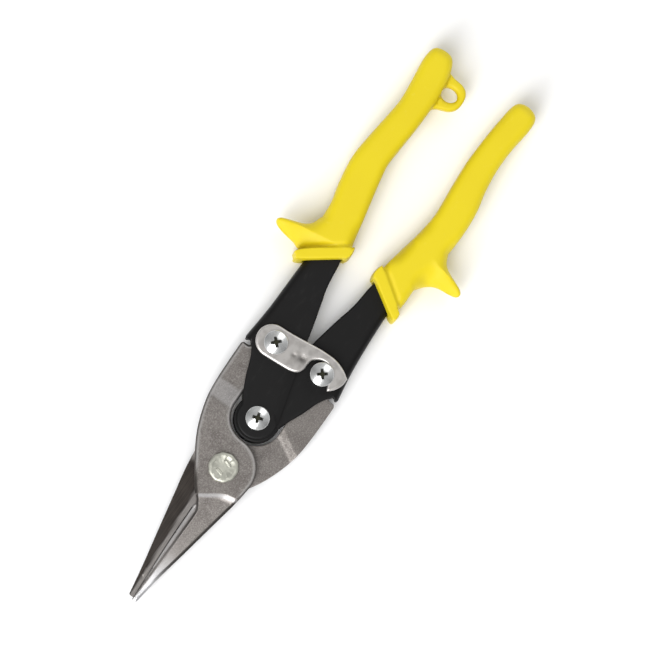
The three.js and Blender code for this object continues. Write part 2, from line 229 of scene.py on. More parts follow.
def triangulated(outlines, holes, creases, rings, spacing, extra):
    """Flat points and triangles that fill the union of the outlines, without the holes."""
    def within(points):
        found = np.zeros(len(points), bool)
        for outline in outlines:
            found |= inside(outline, points)
        for hole in holes:
            found &= ~inside(hole, points)
        return found

    paths = [(p, True) for p in (*outlines, *holes)] + [(p, False) for p in creases]
    edges, start = [], 0
    for path, closed in paths:
        n = len(path)
        edges += [(start + i, start + (i + 1) % n) for i in range(n if closed else n - 1)]
        start += n

    free = []
    for outline in outlines:
        free += [ring[inside(outline, ring)] for ring in (grown(outline, -r) for r in rings)]
    low = np.min([o.min(0) for o in outlines], 0)
    high = np.max([o.max(0) for o in outlines], 0)
    rows = np.arange(low[1], high[1], spacing * 0.87)
    columns = np.arange(low[0], high[0], spacing)
    grid = np.array([(x + spacing / 2 * (j % 2), y) for j, y in enumerate(rows) for x in columns])
    for outline in outlines:
        near = distance(outline, grid) < (rings[-1] if rings else 0) + spacing * 0.4
        grid = grid[~(near & inside(outline, grid))]
    free = np.concatenate([*free, *extra, grid])
    free = free[within(free)]
    for path, closed in paths:
        free = free[distance(path, free, closed) > min(spacing, *rings) * 0.5]

    flat, _, triangles, *_ = delaunay_2d_cdt(
        [Vector(p) for p in np.concatenate([*(p for p, _ in paths), free])], edges, [], 0, 1e-4)
    flat = np.array([tuple(p) for p in flat])
    triangles = np.array([t for t in triangles if len(t) == 3])
    triangles = triangles[within(flat[triangles].mean(1))]
    a, b, c = (flat[triangles[:, i]] for i in range(3))
    size = (b - a)[:, 0] * (c - a)[:, 1] - (b - a)[:, 1] * (c - a)[:, 0]
    triangles = np.where((size < 0)[:, None], triangles[:, ::-1], triangles)
    used, inverse = np.unique(triangles, return_inverse=True)
    return flat[used], inverse.reshape(triangles.shape)


def plate(name, outlines, top, bottom, holes=(), creases=(), spacing=0.7, rings=(0.35, 0.8, 1.3),
          extra=(), turned=False, sharp_degrees=32, marks=()):
    """A solid over plan outlines, whose faces' heights are top(x, y) and bottom(x, y).

    Its points lie in rings along the outlines, at the extra places, and in an even grid.
    marks are (name, function) pairs: each is kept on the mesh's points for the materials to read.
    """
    flat, triangles = triangulated(outlines, holes, creases, rings, spacing, extra)
    x, y = flat.T
    upper = np.column_stack([flat, top(x, y)])
    lower = np.column_stack([flat, bottom(x, y)])
    count = len(flat)
    open_edges = {}
    for t in triangles.tolist():
        for e in zip(t, t[1:] + t[:1]):
            if open_edges.pop(e[::-1], None) is None:
                open_edges[e] = True
    faces = [tuple(t) for t in triangles]
    faces += [tuple(t[::-1] + count) for t in triangles]
    faces += [(b, a, a + count, b + count) for a, b in open_edges]
    obj = add_object(name, np.concatenate([upper, lower]), faces, sharp_degrees, turned)
    for mark, value in marks:
        place = np.array([v.co for v in obj.data.vertices]) / MM - np.array(ORIGIN) / MM
        if turned:
            place = place * (1, -1, -1)
        layer = obj.data.attributes.new(mark, "FLOAT", "POINT")
        layer.data.foreach_set("value", value(*place.T).astype(np.float32))
    return obj


def turned_solid(name, profile, x=0.0, y=0.0, sides=64, sharp_degrees=32):
    """A solid of revolution about an upright axis, from (radius, z) points."""
    angles = np.arange(sides) * 2 * np.pi / sides
    vertices, rows = [], []
    for r, z in profile:
        if r < 1e-6:
            rows.append([len(vertices)] * sides)
            vertices.append((x, y, z))
        else:
            rows.append(list(range(len(vertices), len(vertices) + sides)))
            vertices += [(x + r * math.cos(a), y + r * math.sin(a), z) for a in angles]
    faces = []
    for lower, upper in zip(rows[:-1], rows[1:]):
        for i in range(sides):
            j = (i + 1) % sides
            corners = dict.fromkeys((lower[i], lower[j], upper[j], upper[i]))
            if len(corners) > 2:
                faces.append(tuple(corners))
    return add_object(name, vertices, faces, sharp_degrees)


def stacked(name, rows, turned=False):
    """A solid through closed rows of points, each row above the one before it."""
    n = len(rows[0])
    last = (len(rows) - 1) * n
    faces = [tuple(range(n))[::-1], tuple(range(last, last + n))]
    faces += [(k + i, k + (i + 1) % n, k + n + (i + 1) % n, k + n + i)
              for k in range(0, last, n) for i in range(n)]
    return add_object(name, [point for row in rows for point in row], faces, turned=turned)


def prism(name, outline, z0, z1, turned=False):
    """An outline drawn straight up from z0 to z1."""
    return stacked(name, [[(x, y, z) for x, y in outline] for z in (z0, z1)], turned)


def combine(obj, operation, *tools):
    """Changes a solid by a boolean with each of some others, which are used up."""
    for tool in tools:
        modifier = obj.modifiers.new("boolean", "BOOLEAN")
        modifier.operation = operation
        modifier.solver = "EXACT"
        modifier.object = tool
        bpy.context.view_layer.objects.active = obj
        bpy.ops.object.modifier_apply(modifier=modifier.name)
        bpy.data.objects.remove(tool)


def fit_out(obj, body, slot, material, *nodes):
    """Gives a finished piece its material and its body, and hides the CAD nodes that it stands for."""
    obj.data.materials.clear()
    obj.data.materials.append(material)
    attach(obj, body)
    if nodes:
        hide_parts(*nodes)
    return obj


# ---------- materials ----------


class Look:
    """A Principled material put together from nodes, over plan millimetres."""

    def __init__(self, name, colour, roughness, metallic=0.0, specular=0.5):
        self.material = bpy.data.materials.new(name)
        self.material.use_nodes = True
        self.tree = self.material.node_tree
        self.shader = self.tree.nodes["Principled BSDF"]
        self.colour = self.node("ShaderNodeRGB").outputs[0]
        self.colour.default_value = (*colour, 1)
        self.roughness = roughness
        self.shader.inputs["Metallic"].default_value = metallic
        self.shader.inputs["Specular IOR Level"].default_value = specular
        place = self.node("ShaderNodeMapping")
        self.link(self.node("ShaderNodeTexCoord").outputs["Object"], place.inputs["Vector"])
        place.inputs["Scale"].default_value = (1 / MM,) * 3
        place.inputs["Location"].default_value = tuple(-ORIGIN / MM)
        self.place = place.outputs[0]
        self.normal = None

    def node(self, kind, **settings):
        made = self.tree.nodes.new(kind)
        for key, value in settings.items():
            setattr(made, key, value)
        return made

    def link(self, a, b):
        self.tree.links.new(a, b)

    def put(self, socket, source):
        """Feeds a socket from another one, or sets it to a number."""
        if isinstance(source, bpy.types.NodeSocket):
            self.link(source, socket)
        else:
            socket.default_value = source

    def math(self, operation, a, b=0.0, clamp=False):
        made = self.node("ShaderNodeMath", operation=operation, use_clamp=clamp)
        self.put(made.inputs[0], a)
        self.put(made.inputs[1], b)
        return made.outputs[0]

    def noise(self, size_mm, detail=2.0, stretch=(1, 1, 1)):
        """Noise from about 0 to 1, in grains of the given size, stretched along plan axes."""
        place = self.node("ShaderNodeMapping")
        self.link(self.place, place.inputs["Vector"])
        place.inputs["Scale"].default_value = tuple(1 / (size_mm * s) for s in stretch)
        made = self.node("ShaderNodeTexNoise")
        self.link(place.outputs[0], made.inputs["Vector"])
        made.inputs["Scale"].default_value = 1.0
        made.inputs["Detail"].default_value = detail
        return made.outputs["Fac"]

    def ramp(self, source, low, high):
        """0 below low, 1 above high."""
        made = self.node("ShaderNodeMapRange", interpolation_type="SMOOTHSTEP")
        self.put(made.inputs["Value"], source)
        made.inputs["From Min"].default_value = low
        made.inputs["From Max"].default_value = high
        return made.outputs["Result"]

    def mark(self, name):
        """A value kept on the mesh's points."""
        return self.node("ShaderNodeAttribute", attribute_name=name).outputs["Fac"]

    def tint(self, amount, colour, share=1.0):
        """Mixes a colour in, by an amount from 0 to 1 times a share."""
        if share < 1:
            amount = self.math("MULTIPLY", amount, share)
        made = self.node("ShaderNodeMix", data_type="RGBA")
        self.put(made.inputs[0], amount)
        self.link(self.colour, made.inputs[6])
        made.inputs[7].default_value = (*colour, 1)
        self.colour = made.outputs[2]

    def roughen(self, amount, change):
        """Adds amount (0 to 1) times change to the roughness."""
        self.roughness = self.math("ADD", self.roughness, self.math("MULTIPLY", amount, change), True)

    def bump(self, height, depth_mm, strength=1.0):
        made = self.node("ShaderNodeBump")
        made.inputs["Distance"].default_value = depth_mm * MM
        self.put(made.inputs["Strength"], strength)
        self.link(height, made.inputs["Height"])
        if self.normal:
            self.link(self.normal, made.inputs["Normal"])
        self.normal = made.outputs[0]

    def done(self):
        self.link(self.colour, self.shader.inputs["Base Color"])
        self.put(self.shader.inputs["Roughness"], self.roughness)
        if self.normal:
            self.link(self.normal, self.shader.inputs["Normal"])
        return self.material


def forged_steel():
    """Tumbled forged steel: fine grain, cloudy grey, lengthwise-ground faces, painted highlights and
    painted shade lines.
    """
    look = Look("forged_steel", (0.215, 0.198, 0.185), 0.4, metallic=0.92)
    cloud, grain = look.noise(6, 3), look.noise(0.5, 3)
    look.tint(look.ramp(cloud, 0.35, 0.7), (0.165, 0.15, 0.14))
    look.tint(look.ramp(grain, 0.48, 0.7), (0.33, 0.31, 0.295), 0.6)
    look.tint(look.ramp(grain, 0.5, 0.3), (0.11, 0.1, 0.092), 0.5)
    look.roughen(look.ramp(cloud, 0.3, 0.7), 0.1)
    ground, dark = look.mark("ground"), look.mark("dark")
    lines = look.noise(0.3, 2, stretch=(40, 1, 6))
    streaks = look.ramp(lines, 0.4, 0.68)
    look.tint(ground, (0.36, 0.34, 0.325), 0.85)
    look.tint(look.math("MULTIPLY", ground, streaks), (0.23, 0.21, 0.2), 0.5)
    # painted highlights: the step up to the boss, the tail's ramp and the tips, and a lighter band on the
    # bevel strip
    look.tint(look.mark("painted_highlight"), (0.82, 0.82, 0.84), 0.85)
    # lighter band inside the rounded edges of tail and boss: partly polish, partly painted highlight
    look.tint(look.mark("rim"), (0.5, 0.49, 0.48), 0.55)
    # painted shade: dark lines in the crease corner, along the blunt back edge and on the edge's bevel
    look.tint(look.mark("shade"), (0.03, 0.026, 0.023), 0.85)
    look.roughen(look.mark("painted_highlight"), -0.04)
    look.tint(dark, (0.026, 0.021, 0.018), 0.94)
    look.tint(look.math("MULTIPLY", dark, streaks), (0.11, 0.092, 0.08), 0.35)
    look.roughen(ground, -0.12)
    rough_part = look.math("SUBTRACT", 1.0, look.math("MAXIMUM", ground, look.mark("painted_highlight")), True)
    look.bump(grain, 0.06, look.math("MULTIPLY", rough_part, 0.6))
    look.bump(lines, 0.02, look.math("MULTIPLY", ground, 0.5))
    return look.done()


def handle_paint():
    """Black satin enamel with a slight orange peel and dust-fine scuffs."""
    look = Look("handle_paint", (0.0045, 0.0043, 0.0044), 0.38, specular=0.2)
    scuff = look.ramp(look.noise(1.6, 5, stretch=(3, 1, 1)), 0.56, 0.8)
    look.tint(scuff, (0.0135, 0.013, 0.0128), 0.5)
    look.roughen(scuff, 0.18)
    look.roughen(look.noise(9, 2), 0.08)
    look.bump(look.noise(0.9, 2), 0.06, 0.35)
    return look.done()


def grip_plastic():
    """Soft yellow vinyl: fine moulded grain, slightly deeper colour in broad patches."""
    look = Look("grip_plastic", (0.7, 0.56, 0.008), 0.42, specular=0.3)
    look.tint(look.ramp(look.noise(24, 2), 0.35, 0.7), (0.66, 0.51, 0.007), 0.35)
    scuff = look.ramp(look.noise(2.2, 5), 0.6, 0.85)
    look.tint(scuff, (0.72, 0.6, 0.06), 0.4)
    look.roughen(look.noise(5, 3), 0.12)
    look.bump(look.noise(0.5, 2), 0.035, 0.4)
    look.bump(look.noise(6, 1), 0.12, 0.2)
    return look.done()


def zinc_plate():
    """Bright zinc with a faint bluish and straw bloom and barrel-plating wear, and painted shade in screw
    recesses.
    """
    look = Look("zinc_plate", (0.7, 0.71, 0.71), 0.15, metallic=1.0)
    look.tint(look.ramp(look.noise(2.5, 2), 0.4, 0.7), (0.52, 0.52, 0.5), 0.45)
    # painted shade inside the screws' cross recesses
    look.tint(look.mark("painted_recess_shade"), (0.05, 0.05, 0.035))
    look.roughen(look.noise(1.1, 4), 0.14)
    look.roughen(look.mark("painted_recess_shade"), 0.3)
    look.bump(look.noise(0.35, 3), 0.02, 0.3)
    return look.done()


def pivot_zinc():
    """Pale, slightly green chromate on zinc, as on the pivot bolt."""
    look = Look("pivot_zinc", (0.47, 0.47, 0.41), 0.34, metallic=0.85)
    look.tint(look.ramp(look.noise(1.8, 3), 0.4, 0.65), (0.33, 0.33, 0.285), 0.5)
    look.roughen(look.noise(0.9, 4), 0.14)
    look.bump(look.noise(0.5, 3), 0.04, 0.5)
    return look.done()


def latch_steel():
    """Stamped strip: plain grey face with soft rolled clouds, a painted highlight along its rim and painted
    shade in its dimples.
    """
    look = Look("latch_steel", (0.47, 0.452, 0.435), 0.34, metallic=0.95)
    look.tint(look.ramp(look.noise(3.5, 3), 0.4, 0.65), (0.27, 0.255, 0.24), 0.5)
    # painted shade in the stamped dimples
    look.tint(look.mark("painted_dimple_shade"), (0.07, 0.065, 0.06), 0.85)
    # painted highlight along the rounded rim
    look.tint(look.mark("rim"), (0.8, 0.78, 0.76), 0.35)
    look.roughen(look.noise(0.8, 4), 0.14)
    look.bump(look.noise(0.3, 3, stretch=(1, 5, 1)), 0.015, 0.5)
    return look.done()


def spring_steel():
    """Oil-tempered wire, drawn along its length."""
    look = Look("spring_steel", (0.12, 0.115, 0.11), 0.3, metallic=1.0)
    look.tint(look.ramp(look.noise(1.2, 3), 0.45, 0.7), (0.2, 0.18, 0.16), 0.5)
    look.roughen(look.noise(0.6, 3), 0.15)
    look.bump(look.noise(0.3, 2), 0.01, 0.4)
    return look.done()


STEEL = forged_steel()
PAINT = handle_paint()
PLASTIC = grip_plastic()
ZINC = zinc_plate()
PALE_ZINC = pivot_zinc()
LATCH_STEEL = latch_steel()
SPRING_STEEL = spring_steel()

# ---------- heights that the pieces share ----------

GAP = 0.15
WALL = 1.8
handle_low, handle_high = box_mm("left_handle")
LAP = (handle_low[2] + handle_high[2]) / 2
HANDLE_HALF = (handle_high[2] - handle_low[2]) / 2
TAIL_THICK = 4.2
TAIL_TOP = -box_mm("front_blade")[0][2]
TAIL_UNDER = TAIL_TOP - TAIL_THICK
BOSS_THICK = box_mm("front_blade")[1][2]
GRIP_HALF = box_mm("left_grip")[1][2]


def rounded(deep, radius):
    """How far a rounded edge drops, this deep inside the outline."""
    t = np.clip(1 - deep / radius, 0, 1)
    return radius * (1 - np.sqrt(1 - t * t))


# ---------- blades, drawn as the rear one: jaw on -Y, tail on +Y, below z = 0 ----------

BOSS_R = 13.05
HOLLOW_R = 10.5
EYE_R = 8
EYE_HOLE_R = 3.45
TIP_WIDE = 2.1
TIP_CORNER = (0.3, 0.6)
JAW_THICK = 3.4
TIP_THICK = 1.5
EDGE_THICK = 1.2
RAMP_X = (-29.3, -20.2)
STEP_WIDE = 2.2
STEP_LINE = [(6.4, -13.5), (7, -10.9), (8, -6.5), (10, -2.8), (13.6, 2.4), (16, 5.5)]
STEP_TURN = math.radians(-26.4)
BEND_AT = (-19.5, 16)
BEND_TURN = math.radians(-30)
BEND_WIDE = 3.4
CREASE_LINE = [(14.3, 1.9), (16.4, 0.3), (18.4, -0.9), (20.4, -1.5), (30, -1.45), (42, -1.25),
               (50, -0.95), (57, -0.6), (63, -0.3)]
CREASE_WIDE = 0.9
CREASE_SHARE = 0.88


def past_bend(x, y):
    """How far towards the tips from the line where a blade's tail is set back."""
    return (x - BEND_AT[0]) * math.cos(BEND_TURN) + (y - BEND_AT[1]) * math.sin(BEND_TURN)


def land_line(x):
    """Where the narrow land along the cutting edge ends and the hollow-ground face begins."""
    return -3.3 + (x - 22) * 0.045


def blade(name, body, bolt_hole_r, turned):
    tip_x = box_mm(name)[1][0]
    tip_back = (tip_x - TIP_CORNER[0], -TIP_WIDE)
    spine = smooth([tip_back, (50, -3.95), (35, -6.9), (20, -9.8), (8, -12.1), (-0.5, -BOSS_R)], 0.8)
    boss = arc(0, 0, BOSS_R, -97, -178, 0.9)
    hollow = arc(HANDLE_X, 0, HOLLOW_R, 2, 90, 0.9)
    neck = smooth([(HANDLE_X, HOLLOW_R), (-31, 10.3), (-37, 9), (-45.9, 5.9)], 1.0)
    eye = arc(LINK_X, LINK_Y, EYE_R, -40, -290, 0.9)
    heel = smooth([(-49.3, 18.5), (-46.4, 18.6), (-45.5, 19.4), (-45.5, 21.4), (-44.7, 22.2),
                   (-43, 22.3)], 0.6)
    back = smooth([(-43, 22.3), (-30, 22.1), (-20, 21.2), (-10, 18.3), (-2, 14.5), (9, 7.4),
                   (13.7, 3.85)], 1.2)
    throat = smooth([(13.7, 3.85), (15.6, 1.9), (17, 0.95), (18.2, 1.1), (19.4, 1.4)], 0.5)
    edge = smooth([(19.4, 1.4), (35, 1.2), (50, 0.6), (tip_x, 0)], 0.9)
    tip = [(tip_x, TIP_CORNER[1] - TIP_WIDE), tip_back]
    plan = joined(spine, boss, hollow, neck, eye, heel, back, throat, edge, tip)
    soft = np.concatenate([spine, boss, hollow, neck, eye, heel, back])

    def inner_face(x, y):
        raised = ease(-past_bend(x, y) / BEND_WIDE) * ease((np.hypot(x, y) - BOSS_R - 0.6) / 0.4)
        relief = 0.3 * ease((x + 2) / 6) * ease((land_line(x) - y) / 0.5)
        blunt = rounded(distance(soft, np.stack([x, y], 1), closed=False), 0.25)
        return -GAP + (TAIL_TOP + GAP) * raised - relief - blunt

    step_path = smooth(STEP_LINE, 0.8)
    crease_path = smooth(CREASE_LINE, 0.7)

    def past_step(x, y):
        return (x - np.interp(y, step_path[:, 1], step_path[:, 0])) * math.cos(STEP_TURN)

    def past_crease(x, y):
        """How far towards the cutting edge from the line where the jaw's side steps down to it."""
        gap = distance(crease_path, np.stack([x, y], 1), closed=False)
        beyond = y > np.interp(x, crease_path[:, 0], crease_path[:, 1])
        return np.where(beyond & (x > crease_path[0, 0]), gap, -gap)

    def outer_face(x, y):
        p = np.stack([x, y], 1)
        z = np.interp(x, RAMP_X, [TAIL_UNDER, -BOSS_THICK])
        s = past_step(x, y)
        z = np.where(s > 0, np.interp(s, [0, STEP_WIDE, 54], [-BOSS_THICK, -JAW_THICK, -TIP_THICK]), z)
        w = past_crease(x, y)
        share = np.interp(w, [0, CREASE_WIDE, 3.2], [0, CREASE_SHARE, 1])
        z = z + (-EDGE_THICK - z) * share
        soft_deep = distance(soft, p, closed=False)
        on_jaw = ease((x - 9) / 5) - ease((x - 30) / 32)
        wide = 0.8 + 0.5 * on_jaw
        chamfer = (0.6 + 0.55 * on_jaw) * np.clip(1 - soft_deep / wide, 0, 1)
        honed = 0.7 * np.clip(1 - distance(edge, p, closed=False) / 0.5, 0, 1)
        return np.minimum(z + chamfer + honed + rounded(distance(throat, p, closed=False), 0.5), -0.3)

    def on_outside(x, y, z):
        return z < (inner_face(x, y) + outer_face(x, y)) / 2

    def ground(x, y, z):
        outer = np.maximum(ease((past_crease(x, y) + 0.1) / 0.2), ease((x - 26) / 26))
        return np.where(on_outside(x, y, z), outer, ease((x - 3) / 2))

    def dark(x, y, z):
        hollow_face = np.maximum(ease((land_line(x) - y) / 0.5), 0.22)
        return ~on_outside(x, y, z) * ease((x - 2) / 3) * hollow_face

    # Painted highlights: on the step, along the tail's ramp, towards the tips, and a lighter band on the
    # edge's bevel strip.
    def painted_highlight(x, y, z):
        s = past_step(x, y)
        on_step = ease(s / 0.6) * ease((STEP_WIDE - s) / 0.9)
        w = past_crease(x, y)
        strip = 0.3 * ease((w - CREASE_WIDE) / 0.3) * (x > CREASE_LINE[0][0])
        ramp = 0.2 * ease((x - RAMP_X[0]) / 1.2) * ease((RAMP_X[1] - x) / 1.5)
        side = ease((0.1 - w) / 0.4) * np.maximum.reduce([0.4 * on_step, ease((x - 36) / 20), ramp])
        return on_outside(x, y, z) * np.maximum(side, strip)

    def painted_shade_lines(x, y, z):
        """Painted shade in the corner under the crease, on the blunt back edge and on the edge's bevel."""
        p = np.stack([x, y], 1)
        w = past_crease(x, y)
        corner = 0.6 * ease(w / 0.25) * ease((CREASE_WIDE + 0.2 - w) / 0.4)
        bevel = ease((0.45 - distance(edge, p, closed=False)) / 0.2)
        deep = distance(soft, p, closed=False)
        back_edge = ease((1.15 - deep) / 0.4) * ease((x - 6) / 4) * ease((54 - x) / 12)
        back_edge = np.maximum(back_edge, 0.7 * ease((0.45 - deep) / 0.3) * ease((14 - x) / 4))
        return on_outside(x, y, z) * np.maximum.reduce([corner, bevel, back_edge])

    # Lighter band inside the rounded edges of tail and boss, partly polish and partly painted highlight.
    def rim(x, y, z):
        deep = distance(soft, np.stack([x, y], 1), closed=False)
        return on_outside(x, y, z) * ease((8 - x) / 4) * ease((deep - 0.3) / 0.3) * ease((1.5 - deep) / 0.6)

    across = np.array([math.cos(STEP_TURN), math.sin(STEP_TURN)])
    steps = [step_path[2:-2] + across * s for s in (0.0, STEP_WIDE)]
    creases = [crease_path[3:], crease_path[3:] + (0, CREASE_WIDE)]
    holes = [ellipse(0, 0, bolt_hole_r, bolt_hole_r, 48),
             ellipse(LINK_X, LINK_Y, EYE_HOLE_R, EYE_HOLE_R, 40)]
    obj = plate(name + "_steel", [plan], inner_face, outer_face, holes=holes,
                creases=[*steps, *creases], spacing=0.75,
                rings=(0.12, 0.3, 0.55, 0.85, 1.2), turned=turned, sharp_degrees=24,
                marks=[("ground", ground), ("dark", dark), ("painted_highlight", painted_highlight), ("rim", rim),
                       ("shade", painted_shade_lines)])
    return fit_out(obj, body, "forged_steel", STEEL, name)


# ---------- handles and grips, drawn on the right handle's side ----------

WEB_BEND = 3.0
MOUTH_ROOM = 0.45
MOUTH_X = -106
SLEEVE_HOLE_R = 3.75
SCREW_HOLE_R = 2.45

CHANNELS = {
    "right": {
        "web": [(-166, 19), (-150, 20), (-130, 22), (-110, 20.3), (-93, 18.9), (-76, 19.2),
                (-60.4, 20.3), (-48.1, 22.1)],
        "lip": [(-59.4, 0.9), (-68.7, 2.8), (-75, 4.2), (-82.2, 5.9), (-92.8, 7.1), (-100, 9.2),
                (-110, 11.6), (-130, 15), (-150, 13.6), (-166, 13.6)],
        "end_r": 9.4,
    },
    "left": {
        "web": [(-166, 23), (-150, 23.6), (-130, 25.2), (-110, 21.7), (-93, 20.4), (-76, 20.7),
                (-62, 21.1), (-48.1, 22.3)],
        "lip": [(-59.4, 1), (-68.7, 3.3), (-75, 5), (-82.2, 6.9), (-92.4, 8.2), (-100, 10.2),
                (-110, 12.4), (-130, 17.6), (-150, 17), (-166, 17)],
        "end_r": 8.2,
    },
}


def channel_solid(name, side, mouth_room=0.0, turned=False):
    """The outer shape of a handle with its bent web and soft edges, and the line of the web.

    From inside the grip towards its mouth the shape becomes larger all round, by mouth_room.
    """
    def room(x):
        return mouth_room * ease((x - MOUTH_X) / 8)

    shape = CHANNELS[side]
    web, lip = smooth(shape["web"], 1.5), smooth(shape["lip"], 1.5)
    web[:, 1] += room(web[:, 0])
    lip[:, 1] -= room(lip[:, 0])
    spur = smooth([(-48.1, 22.1), (-47.3, 22), (-47.1, 21.3), (-47.85, 20), (-46.4, 18.7)], 0.4)
    lower = smooth([(-46.4, 18.7), (-42.3, 16.2), (-35.3, 13.5), (-28.2, 10.3)], 0.9)
    end = arc(HANDLE_X, 0, shape["end_r"], 100, -105, 0.6)
    plan = joined(web, spur, lower, end, lip)

    def rise(x, y):
        p = np.stack([x, y], 1)
        drop = np.maximum(rounded(distance(web, p, closed=False), WEB_BEND),
                          rounded(distance(plan, p), 0.45))
        return HANDLE_HALF - drop + room(x)

    obj = plate(name, [plan], lambda x, y: -LAP + rise(x, y), lambda x, y: -LAP - rise(x, y),
                spacing=1.3, rings=(0.08, 0.22, 0.45, 0.9, 1.6, 2.4), turned=turned)
    return obj, web


def handle(side, body):
    turned = side == "left"
    obj, web = channel_solid(side + "_handle_channel", side, turned=turned)
    inside_half = HANDLE_HALF - WALL
    behind = web - (0, WALL)
    hollow = joined([(-170, behind[0][1])], behind, [(-46, 20.3), (0, 20.3), (0, -30), (-170, -30)])
    cutters = [prism("hollow", hollow, -LAP - inside_half, -LAP + inside_half, turned)]
    for x, y, r in ((LINK_X, LINK_Y, SCREW_HOLE_R), (HANDLE_X, 0, SLEEVE_HOLE_R)):
        cutters.append(prism("hole", ellipse(x, y, r, r, 48), -9, 9, turned))
    combine(obj, "DIFFERENCE", *cutters)
    shade(obj, 30)
    return fit_out(obj, body, "handle_paint", PAINT, side + "_handle")


GRIPS = {
    "right": {
        "body": [(-90.5, 20.6), (-101.4, 22), (-110, 24), (-120, 25), (-130, 25.5), (-140, 24.9),
                 (-150, 22.9), (-160, 22), (-170, 22.4), (-180, 23.6), (-185, 22.5),
                 (-186.8, 17.5), (-184.5, 13), (-175, 11.4), (-165, 10.6), (-155, 10.3),
                 (-145, 10.8), (-131, 11.8), (-120, 10.6), (-110, 8.5), (-98.5, 6.7),
                 (-96, 9.5)],
        "collar": [(-94.6, 5.7), (-93.9, 7.6), (-86.9, 18.6), (-85.4, 21.6), (-85.9, 22.6),
                   (-88.6, 22.8), (-90.4, 21.2), (-100.2, 7.4), (-101.2, 6.1), (-99.5, 5.2),
                   (-96.8, 4.8)],
        "guard": [(-97, 17.5), (-102.2, 22.6), (-105, 25.2), (-107, 28.8), (-107.6, 34.2),
                  (-108.2, 36.9), (-109.6, 38.1), (-111.3, 37), (-112.6, 34.1), (-114.6, 29.2),
                  (-116.8, 26.6), (-120.5, 24.7), (-126, 20), (-112, 13)],
        "ridge": [(-116, 15), (-115.2, 19), (-113.6, 25), (-112.8, 30), (-111.8, 34.6),
                  (-110, 38)],
        "ridge_starts": -5,
    },
    "left": {
        "body": [(-88.5, 22.8), (-98, 24.2), (-110, 24.7), (-120, 26.9), (-131, 28.3),
                 (-143, 27.3), (-152, 26.2), (-160.5, 25.5), (-171, 26.4), (-180, 27.3),
                 (-185.4, 25.5), (-185.9, 19), (-181.5, 15.6), (-172, 13.6), (-158, 13.5),
                 (-145, 14.3), (-135.5, 14.7), (-125, 12.9), (-115, 10.8), (-105, 8.8),
                 (-97.5, 7.5), (-95, 10.5)],
        "collar": [(-94.4, 7.2), (-93.7, 8.8), (-85.3, 20.4), (-83.6, 23.6), (-84.3, 24.4),
                   (-87.8, 24.5), (-99.6, 8.6), (-100.8, 7.1), (-100, 6.4), (-96.8, 6.1)],
        "guard": [(-96, 14), (-88.8, 23.6), (-89.4, 28.2), (-90.4, 34.2), (-91.6, 37.5),
                  (-93.1, 38.65), (-94.6, 37.6), (-95.7, 34.6), (-97.4, 29.2), (-99.8, 26.2),
                  (-104, 24.4), (-110, 20), (-104, 14)],
        "ridge": [(-97.6, 12), (-97.2, 17), (-96.2, 23), (-95.8, 28), (-94.9, 34.4),
                  (-93.4, 38.5)],
        "ridge_starts": -10,
    },
}
LOOP_OUTLINE = [(-180, 17), (-179.8, 12), (-179.4, 8.6), (-178.2, 6.2), (-176, 4.8), (-173, 4.4),
                (-170, 5.1), (-168, 6.9), (-166.9, 9.2), (-166, 11.6), (-164.6, 13.6),
                (-163.5, 17), (-172, 19.5)]
LOOP_HOLE = (-173.2, 10.7, 2.9, 3.6)
LOOP_HALF = 2.6


def grip(side, body):
    turned = side == "left"
    shape = GRIPS[side]
    bulk = smooth(shape["body"], 1.0, closed=True)
    collar = smooth(shape["collar"], 0.5, closed=True)
    guard = smooth(shape["guard"], 0.7, closed=True)
    ridge = smooth(shape["ridge"], 0.7)
    outlines, holes = [bulk, collar, guard], []
    if side == "left":
        loop = smooth(LOOP_OUTLINE, 0.7, closed=True)
        outlines.append(loop)
        holes.append(ellipse(*LOOP_HOLE, 40))
    skin = outer_edges(bulk, guard)
    collar_skin = outer_edges(bulk, guard, collar)

    def rise(x, y):
        p = np.stack([x, y], 1)
        outside = np.where(inside(bulk, p), -1, 1) * distance(bulk, p)
        gap = distance(ridge, p, closed=False)
        near_ridge = ease((14 - gap) / 8)
        tipwards = x > np.interp(y, ridge[:, 1], ridge[:, 0])
        facet = 0.62 * gap * ease((outside - shape["ridge_starts"]) / 7)
        saddle = 0.6 * gap * ease((outside + 5) / 12)
        fall = near_ridge * np.where(tipwards, facet, saddle)
        radius = 4.2 - 1.2 * ease((outside + 2) / 8)
        t = np.clip(1 - nearest(skin, p) / radius, 0, 1)
        edge = radius * (1 - (1 - t**2.5)**0.4)
        height = GRIP_HALF - 0.6 - 4.6 * ease((outside + 3) / 21)
        z = np.maximum(height - fall - edge, 1.1)
        z = np.where(inside(bulk, p) | inside(guard, p) | (nearest(skin, p) < 1e-3), z, 0.0)

        within = np.where(inside(collar, p), 1, -1) * distance(collar, p)
        band = GRIP_HALF - rounded(nearest(collar_skin, p), 0.9)
        groove = 0.45 * ease((within + 2.4) / 1.2) * ease((-within - 0.2) / 0.9)
        z = z - groove * (z > 4)
        z = z + np.maximum(band - z, 0) * ease((within + 0.7) / 1.1)
        if side == "left":
            rim = np.minimum(distance(loop, p), distance(holes[0], p))
            in_loop = inside(loop, p) | (distance(loop, p) < 1e-3)
            z = np.where(in_loop, np.maximum(z, LOOP_HALF - rounded(rim, 1.1)), z)
        return z

    behind_collar = [grown(collar, r) for r in (0.25, 0.5, 0.75, 1.1, 1.6, 2.2)]
    obj = plate(side + "_grip_vinyl", outlines, rise, lambda x, y: -rise(x, y), holes=holes,
                creases=[ridge[1:-2]], spacing=0.8, rings=(0.06, 0.2, 0.45, 0.85, 1.4, 2.1, 3.0),
                extra=behind_collar, turned=turned, sharp_degrees=55)
    pocket, _ = channel_solid("pocket", side, MOUTH_ROOM, turned)
    combine(obj, "DIFFERENCE", pocket)
    shade(obj, 55)
    return fit_out(obj, body, "grip_plastic", PLASTIC, side + "_grip")


# ---------- latch ----------

